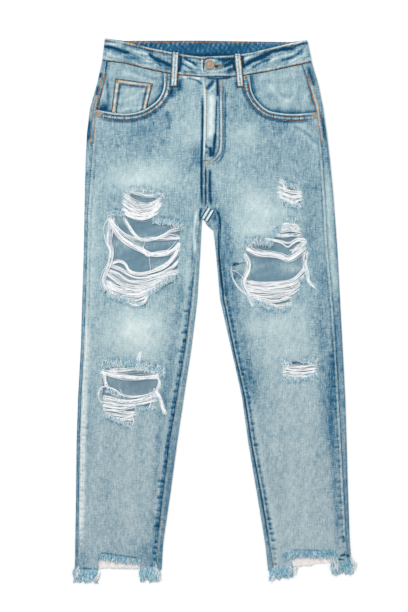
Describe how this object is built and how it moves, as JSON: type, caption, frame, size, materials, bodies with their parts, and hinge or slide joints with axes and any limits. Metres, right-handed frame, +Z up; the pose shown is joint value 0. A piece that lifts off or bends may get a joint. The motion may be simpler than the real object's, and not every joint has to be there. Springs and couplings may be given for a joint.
{
  "type": "ripped jeans",
  "caption": "Ripped straight-leg denim jeans with torn raw hems and worn-through thighs and knees, laid flat with the front up.",
  "frame": {"origin": "centre of the box round the jeans, on the surface that they lie on", "axes": "+Y from the hems to the waist, +X to the wearer's left, +Z up out of the front"},
  "size_m": [0.5106, 0.981, 0.0124],
  "materials": {
    "washed_denim": "light stone-washed indigo twill, paler on the thighs and on raised seams",
    "facing_denim": "the same denim, inside the front pocket openings",
    "bared_threads": "loose off-white weft threads",
    "raw_fringe": "frayed blue and off-white ends",
    "copper": "worn antique copper",
    "zip_tape": "plain woven tape"
  },
  "bodies": {
    "root": {"back_leg_left": "washed_denim", "back_leg_right": "washed_denim", "back_pocket_left": "washed_denim", "back_pocket_right": "washed_denim", "back_yoke_left": "washed_denim", "back_yoke_right": "washed_denim", "belt_loop_back_centre": "washed_denim", "belt_loop_back_left": "washed_denim", "belt_loop_back_right": "washed_denim", "belt_loop_front_left": "washed_denim", "belt_loop_front_right": "washed_denim", "button": "copper", "coin_pocket": "facing_denim", "fly_zip": "zip_tape", "front_leg_left": "washed_denim", "front_leg_right": "washed_denim", "hem_left_inner_fringe": "raw_fringe", "hem_left_middle_fringe": "raw_fringe", "hem_left_outer_fringe": "raw_fringe", "hem_right_inner_fringe": "raw_fringe", "hem_right_middle_fringe": "raw_fringe", "hem_right_outer_fringe": "raw_fringe", "pocket_facing_left": "facing_denim", "pocket_facing_right": "facing_denim", "rivet_left": "copper", "rivet_right": "copper", "threads_left_hip_patch": "bared_threads", "threads_left_knee_patch": "bared_threads", "threads_left_thigh_band": "bared_threads", "threads_left_thigh_inner_bundle": "bared_threads", "threads_left_thigh_outer_bundle": "bared_threads", "threads_left_thigh_strap": "bared_threads", "threads_left_thigh_tuft": "bared_threads", "threads_right_knee_bands": "bared_threads", "threads_right_knee_bundle": "bared_threads", "threads_right_knee_strap": "bared_threads", "threads_right_thigh_bundle": "bared_threads", "threads_right_thigh_lower_swag": "bared_threads", "threads_right_thigh_middle_swag": "bared_threads", "threads_right_thigh_top": "bared_threads", "threads_right_thigh_upper_swag": "bared_threads", "waistband": "washed_denim"}
  },
  "joints": []
}
